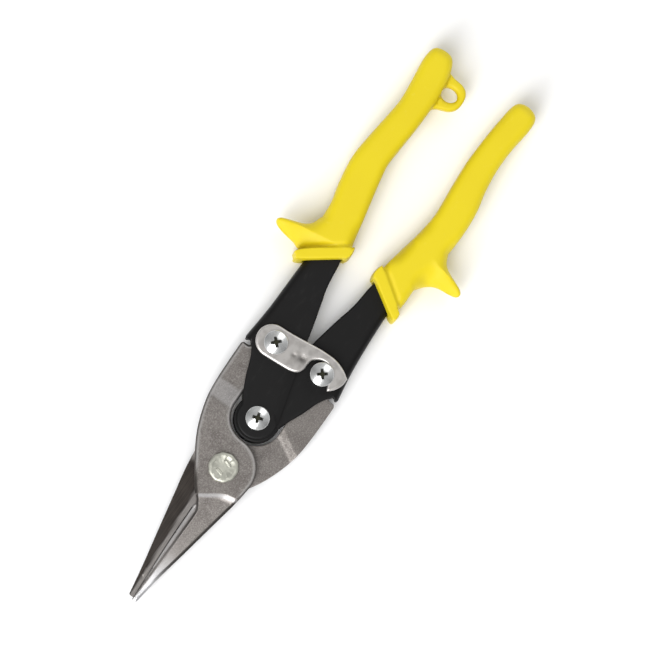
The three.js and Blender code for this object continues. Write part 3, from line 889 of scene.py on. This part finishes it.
LATCH_LOW = box_mm("latch")[0][2]
LATCH_HIGH = box_mm("latch")[1][2]
RELEASE_TURN = math.radians(26.4)
HOOK_ROOM = 2.65
DIMPLES = ((-52.3, 1.1, 1.7, 0.4), (-51.8, -2.4, 0.9, 0.25))  # x, y, radius, depth


def latch():
    c, s = math.cos(RELEASE_TURN), math.sin(RELEASE_TURN)
    wall_in, wall_out = (
        (LINK_X + t * c - HOOK_ROOM * s, LINK_Y + t * s + HOOK_ROOM * c) for t in (-1.6, 5.2))
    foot = arc(LINK_X + 0.2, -LINK_Y - 1.6, 6.6, 0, -180, 0.6)
    back = smooth([(-58.4, -12.6), (-58.6, -8), (-59.4, 0), (-60, 6), (-59.9, 12), (-58.4, 16.6),
                   (-56.1, 20.2)], 0.6)
    top = smooth([(-56.1, 20.2), (-53, 20), (-50, 18.6), (-48.1, 16.9), (-47.7, 16.2), wall_out], 0.4)
    wall = straight([wall_out, wall_in], 0.5)
    notch = smooth([wall_in, (-56.3, 10.8), (-56.4, 7.8), (-54.6, 4.9), (-52, 4.1)], 0.5)
    lobe = smooth([(-52, 4.1), (-49.7, 4), (-47.3, 2.7), (-46.1, 0), (-45.6, -5), (-45.2, -12.6)], 0.6)
    plan = joined(foot, back, top, wall, notch, lobe)
    hole = ellipse(LINK_X, -LINK_Y, SCREW_HOLE_R, SCREW_HOLE_R, 36)

    def dimples(x, y):
        return sum(depth * np.exp(-((x - u)**2 + (y - v)**2) / r**2) for u, v, r, depth in DIMPLES)

    def upper(x, y):
        deep = distance(plan, np.stack([x, y], 1))
        return LATCH_HIGH - rounded(deep, 0.8) - dimples(x, y)

    def lower(x, y):
        return LATCH_LOW + rounded(distance(plan, np.stack([x, y], 1)), 0.2)

    # Painted highlight along the latch's rounded edges.
    def rim(x, y, z):
        return ease(1.25 - distance(plan, np.stack([x, y], 1)) / 0.9)

    obj = plate("latch_strip", [plan], upper, lower, holes=[hole], spacing=0.55,
                rings=(0.07, 0.18, 0.35, 0.6, 0.9),
                # The dimples carry painted shade and the rim a painted highlight.
                marks=[("rim", rim), ("painted_dimple_shade", lambda x, y, z: dimples(x, y) / 0.4)])
    return fit_out(obj, "latch", "latch_steel", LATCH_STEEL, "latch")


# ---------- screws, bolt, nuts and rings ----------

SCREW_R = 2.2
SCREW_HEAD_R = 4.75
SCREW_HEAD_H = 1.9
SCREW_RIM_H = 0.6
BOLT_R = 4.0
BOLT_HEAD_R = 6.0
BOLT_HEAD_H = 2.7
OPEN_PIVOT_ROOM = 0.45  # the rear blade's hole round the bolt
BORE_R = SCREW_R + GAP


def middle(node):
    low, high = box_mm(node)
    return (low[0] + high[0]) / 2, (low[1] + high[1]) / 2


def thread(radius, pitch, bottom, top):
    """(radius, z) points of a chamfered screw end with thread grooves, from the tip up."""
    points = [(0, bottom), (radius - 0.5, bottom), (radius - 0.1, bottom + 0.4)]
    z = bottom + 0.4
    while z + pitch < top:
        points += [(radius, z + pitch * 0.25), (radius, z + pitch * 0.4),
                   (radius - 0.3, z + pitch * 0.8), (radius - 0.3, z + pitch * 0.95)]
        z += pitch
    return points + [(radius, top)]


def phillips(x, y, top, turn):
    """The cross-shaped recess of a screw head, as a tapered cutter."""
    reach, half = 2.45, 0.6
    cross = [(reach, -half), (reach, half), (half + 0.25, half), (half, half + 0.25)]
    rows = []
    for z, reach_scale, wide_scale in ((top + 0.5, 1.08, 1.12), (top - 1.75, 0.5, 0.7)):
        row = []
        for quarter in range(4):
            for u, v in cross:
                u = u * (reach_scale if u == reach else wide_scale)
                v = v * wide_scale
                a = turn + quarter * math.pi / 2
                row.append((x + u * math.cos(a) - v * math.sin(a),
                            y + u * math.sin(a) + v * math.cos(a), z))
        rows.append(row)
    return stacked("recess", rows[::-1])


def screw(node, body, turn_degrees):
    x, y = middle(node)
    low, high = box_mm(node)
    top = high[2]
    under = top - SCREW_HEAD_H
    rise = SCREW_HEAD_H - SCREW_RIM_H
    shank = thread(SCREW_R, 0.7, low[2], low[2] + 3.4)
    head = [(SCREW_R, under), (SCREW_HEAD_R - 0.15, under), (SCREW_HEAD_R, under + 0.15),
            (SCREW_HEAD_R, under + SCREW_RIM_H - 0.1)]
    dome_r = (SCREW_HEAD_R**2 + rise**2) / (2 * rise)
    full = math.asin(SCREW_HEAD_R / dome_r)
    head += [(dome_r * math.sin(a), top - dome_r * (1 - math.cos(a)))
             for a in np.linspace(full * 0.97, 0, 14)]
    obj = turned_solid(node + "_domed", shank + head, x, y, 72, 38)
    combine(obj, "DIFFERENCE", phillips(x, y, top, math.radians(turn_degrees)))
    shade(obj, 30)
    # Painted shade: darker the deeper a point lies inside the cross recess.
    painted_recess_shade = obj.data.attributes.new("painted_recess_shade", "FLOAT", "POINT")
    for v, slot in zip(obj.data.vertices, painted_recess_shade.data):
        u, w, z = plan_point(v.co)
        r = math.hypot(u - x, w - y)
        dome = top - dome_r + math.sqrt(dome_r**2 - r**2)
        slot.value = min(1.0, max(0.0, (dome - z) / 0.9)) if under < z and r < 3 else 0.0
    return fit_out(obj, body, "zinc_plate", ZINC, node)


def pivot_bolt():
    """Headed bolt with two raised bars on its head, so that a key can hold it."""
    low, high = box_mm("pivot_bolt")
    top = high[2]
    under = top - BOLT_HEAD_H
    shank = thread(BOLT_R, 1.25, low[2], low[2] + 5)
    head = [(BOLT_R, under), (BOLT_HEAD_R - 0.2, under), (BOLT_HEAD_R, under + 0.2),
            (BOLT_HEAD_R, top - 0.95)]
    head += [(BOLT_HEAD_R - 0.8 + 0.8 * math.cos(a), top - 0.95 + 0.65 * math.sin(a))
             for a in np.radians([20, 40, 60, 80])]
    head += [(4.4, top - 0.3), (4.1, top - 0.45), (0, top - 0.45)]
    obj = turned_solid("pivot_bolt_forged", shank + head, 0, 0, 96, 34)
    flats = 10
    for v in obj.data.vertices:
        x, y, z = plan_point(v.co)
        r = math.hypot(x, y)
        if z > under - 0.01 and r > BOLT_R + 0.3:
            squeeze = 1 - 0.014 * (1 - math.cos(flats * math.atan2(y, x)))
            v.co = ORIGIN + Vector((x * squeeze, y * squeeze, z)) * MM
    bars = [raised_bar(x, y, top - 0.6, top, tilt) for x, y, tilt in ((-2.2, 0.5, -14), (2.2, -0.4, -14))]
    combine(obj, "UNION", *bars)
    shade(obj, 34)
    return fit_out(obj, "front_blade", "pivot_zinc", PALE_ZINC, "pivot_bolt")


def raised_bar(x, y, bottom, top, tilt_degrees):
    """A short bar with sloping sides."""
    a = math.radians(tilt_degrees)
    rows = []
    for z, half_wide, half_long in ((bottom, 0.8, 1.9), (top - 0.3, 0.55, 1.65), (top - 0.2, 0.42, 1.5)):
        square = ellipse(0, 0, 1, 1, 24)
        corners = np.sign(square) * np.abs(square)**0.45 * (half_wide, half_long)
        rows.append([(x + u * math.cos(a) - v * math.sin(a), y + u * math.sin(a) + v * math.cos(a), z)
                     for u, v in corners])
    return stacked("bar", rows)


def nut(node, body, bore_r):
    """A hexagon nut with both faces chamfered."""
    x, y = middle(node)
    low, high = box_mm(node)
    bottom, top = low[2], high[2]
    corner_r = (high[0] - low[0]) / 2
    hexagon = ellipse(x, y, corner_r, corner_r, 6)
    obj = prism(node + "_hexagon", hexagon, bottom, top)
    flat_r = corner_r * math.cos(math.pi / 6)
    drop = (corner_r - flat_r + 0.3) * math.tan(math.radians(30))
    cone = turned_solid("cone", [(0, bottom - 0.01), (flat_r - 0.3, bottom - 0.01),
                                 (corner_r + 0.01, bottom + drop), (corner_r + 0.01, top - drop),
                                 (flat_r - 0.3, top + 0.01), (0, top + 0.01)], x, y, 72)
    combine(obj, "INTERSECT", cone)
    bore = turned_solid("bore", [(0, bottom - 1), (bore_r + 1.4, bottom - 1), (bore_r, bottom + 0.4),
                                 (bore_r, top - 0.4), (bore_r + 1.4, top + 1), (0, top + 1)], x, y, 48)
    combine(obj, "DIFFERENCE", bore)
    shade(obj, 25)
    return fit_out(obj, body, "zinc_plate", ZINC, node)


def ring(node, body, bore_r, edge=0.12, wave=0.0):
    """A washer, sleeve or spacer with broken edges; a wave bends it three times round."""
    x, y = middle(node)
    low, high = box_mm(node)
    outer_r = (high[0] - low[0]) / 2
    bottom, top = low[2], high[2]
    profile = [(bore_r, bottom + edge), (bore_r + edge, bottom), (outer_r - edge, bottom),
               (outer_r, bottom + edge), (outer_r, top - edge), (outer_r - edge, top),
               (bore_r + edge, top), (bore_r, top - edge), (bore_r, bottom + edge)]
    obj = turned_solid(node + "_turned", profile, x, y, 72)
    if wave:
        for v in obj.data.vertices:
            u, w, _ = plan_point(v.co)
            v.co.z += wave * MM * math.cos(3 * math.atan2(w - y, u - x))
    return fit_out(obj, body, "zinc_plate", ZINC, node)


# ---------- opening spring ----------

WIRE_R = 0.45
COIL_R = 5.2
COIL_RISE = 1.6
LEG_END = (-50.0, 2.4)


def opening_spring():
    """A torsion spring round the handle pivot, with a leg against each blade's tail."""
    reach = math.hypot(LEG_END[0] - HANDLE_X, LEG_END[1])
    tangent = math.atan2(LEG_END[1], LEG_END[0] - HANDLE_X) - math.acos(COIL_R / reach)
    sweep = 2 * math.pi + 2 * tangent
    turns = np.linspace(0, 1, 97)
    angle = -tangent + sweep * turns
    coil = np.stack([HANDLE_X + COIL_R * np.cos(angle), COIL_R * np.sin(angle),
                     COIL_RISE * (turns - 0.5)], 1)
    reach_out = np.linspace(0.97, 0.04, 26)[:, None]
    low_end = np.array((LEG_END[0], -LEG_END[1], -COIL_RISE / 2))
    high_end = np.array((LEG_END[0], LEG_END[1], COIL_RISE / 2))
    path = np.concatenate([coil[0] + (low_end - coil[0]) * reach_out, coil,
                           (coil[-1] + (high_end - coil[-1]) * reach_out)[::-1]])
    sides = 14
    vertices = []
    for i, p in enumerate(path):
        ahead = Vector(path[min(i + 1, len(path) - 1)] - path[max(i - 1, 0)]).normalized()
        across = ahead.cross(Vector((0, 0, 1))).normalized()
        up = across.cross(ahead)
        for k in range(sides):
            a = 2 * math.pi * k / sides
            vertices.append(tuple(Vector(p) + across * WIRE_R * math.cos(a) + up * WIRE_R * math.sin(a)))
    faces = [tuple(range(sides)), tuple(range(len(vertices) - sides, len(vertices)))]
    faces += [(i * sides + k, i * sides + (k + 1) % sides,
               (i + 1) * sides + (k + 1) % sides, (i + 1) * sides + k)
              for i in range(len(path) - 1) for k in range(sides)]
    obj = add_object("opening_spring_wire", vertices, faces, 50)
    obj.data.materials.append(SPRING_STEEL)
    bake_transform(obj)
    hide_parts("opening_spring")
    return obj


# ---------- the snips ----------

blade("rear_blade", "rear_blade", BOLT_R + OPEN_PIVOT_ROOM, turned=False)
blade("front_blade", "front_blade", BOLT_R + GAP, turned=True)
for side in ("left", "right"):
    handle(side, side + "_handle")
    grip(side, side + "_handle")
latch()
screw("left_link_screw", "left_handle", 45)
screw("right_link_screw", "right_handle", 38)
screw("handle_pivot_screw", "left_handle", 18)
pivot_bolt()
for node, body, bore_r in (
        ("left_link_nut", "left_handle", BORE_R), ("right_link_nut", "right_handle", BORE_R),
        ("handle_pivot_nut", "left_handle", BORE_R), ("pivot_nut", "front_blade", BOLT_R + GAP)):
    nut(node, body, bore_r)
for node, body, bore_r in (
        ("left_link_sleeve", "left_handle", BORE_R), ("right_link_sleeve", "right_handle", BORE_R),
        ("handle_pivot_sleeve", "left_handle", BORE_R), ("right_link_spacer", "right_handle", BORE_R),
        ("pivot_washer", "front_blade", BOLT_R + GAP)):
    ring(node, body, bore_r)
ring("latch_wave_washer", "left_handle", BORE_R, edge=0.08, wave=0.1)
opening_spring()

# ---------- floor, light and camera ----------


def floor_material():
    """Matt white paper with a barely visible tooth."""
    look = Look("studio_paper", (0.93, 0.93, 0.935), 0.85, specular=0.2)
    look.tint(look.noise(40, 2), (0.9, 0.9, 0.91), 0.3)
    look.bump(look.noise(1.5, 3), 0.05, 0.2)
    return look.done()


def floor():
    half = 2.5
    mesh = bpy.data.meshes.new("studio_floor")
    mesh.from_pydata([(-half, -half, 0), (half, -half, 0), (half, half, 0), (-half, half, 0)], [],
                     [(0, 1, 2, 3)])
    obj = bpy.data.objects.new("studio_floor", mesh)
    bpy.context.collection.objects.link(obj)
    mesh.materials.append(floor_material())


def softbox(name, place, size, watts):
    """A rectangular light at a place in metres from the middle of the snips, aimed at them."""
    lamp = bpy.data.lights.new(name, "AREA")
    lamp.shape = "RECTANGLE"
    lamp.size, lamp.size_y = size
    lamp.energy = watts
    obj = bpy.data.objects.new(name, lamp)
    obj.location = place
    obj.rotation_euler = (-Vector(place)).to_track_quat("-Z", "Y").to_euler()
    bpy.context.collection.objects.link(obj)


SKY_SIDES = 0.14
SKY_ENDS = 0.46
SKY_TOP = 0.32
SKY_HORIZON = 0.75
HORIZON_FALL = 3.5


def lights():
    """Two soft boxes off the tips and off the grips, under a sky that is darkest to the sides.

    A pale band lies along its horizon, where low views look past the floor.
    """
    softbox("tip_side", (1.1, 0, 1.15), (0.8, 1.9), 28)
    softbox("grip_side", (-1.2, 0.1, 1.15), (0.8, 1.1), 4)
    world = bpy.data.worlds.new("studio")
    world.use_nodes = True
    tree = world.node_tree
    facing = tree.nodes.new("ShaderNodeSeparateXYZ")
    tree.links.new(tree.nodes.new("ShaderNodeTexCoord").outputs["Generated"], facing.inputs[0])

    def step(operation, a, *numbers):
        made = tree.nodes.new("ShaderNodeMath")
        made.operation = operation
        tree.links.new(a, made.inputs[0])
        for socket, number in zip(made.inputs[1:], numbers):
            if isinstance(number, bpy.types.NodeSocket):
                tree.links.new(number, socket)
            else:
                socket.default_value = number
        return made.outputs[0]

    from_ends = step("MULTIPLY", step("ABSOLUTE", facing.outputs["X"]), SKY_ENDS)
    from_top = step("MULTIPLY_ADD", step("MAXIMUM", facing.outputs["Z"], 0.0), SKY_TOP, SKY_SIDES)
    above = step("ABSOLUTE", facing.outputs["Z"])
    band = step("MAXIMUM", step("MULTIPLY_ADD", above, -HORIZON_FALL, 1.0), 0.0)
    from_horizon = step("MULTIPLY", band, SKY_HORIZON)
    strength = step("ADD", step("ADD", from_ends, from_top), from_horizon)
    tree.links.new(strength, tree.nodes["Background"].inputs["Strength"])
    tree.nodes["Background"].inputs["Color"].default_value = (1, 1, 1, 1)
    bpy.context.scene.world = world


CAMERA_AIM = (-69.8, -0.5, 0.0)
CAMERA_TILT = math.radians(6.5)
CAMERA_UP = Vector((-0.823, -0.568, 0))
CAMERA_AWAY = 1.5
FIELD_WIDE = 0.2545


def camera():
    """Looks almost straight down, leaning a little towards the tips, rolled so the tips point down."""
    back = Vector((math.sin(CAMERA_TILT), 0, math.cos(CAMERA_TILT)))
    up = (CAMERA_UP - back * CAMERA_UP.dot(back)).normalized()
    right = up.cross(back)
    aim = ORIGIN + Vector(CAMERA_AIM) * MM
    data = bpy.data.cameras.new("camera")
    data.sensor_width = 36
    data.lens = data.sensor_width * CAMERA_AWAY / FIELD_WIDE
    obj = bpy.data.objects.new("camera", data)
    obj.matrix_world = Matrix((right, up, back)).transposed().to_4x4()
    obj.location = aim + back * CAMERA_AWAY
    bpy.context.collection.objects.link(obj)
    bpy.context.scene.camera = obj


floor()
lights()
camera()
bpy.context.scene.view_settings.view_transform = "Standard"

bpy.context.view_layer.update()
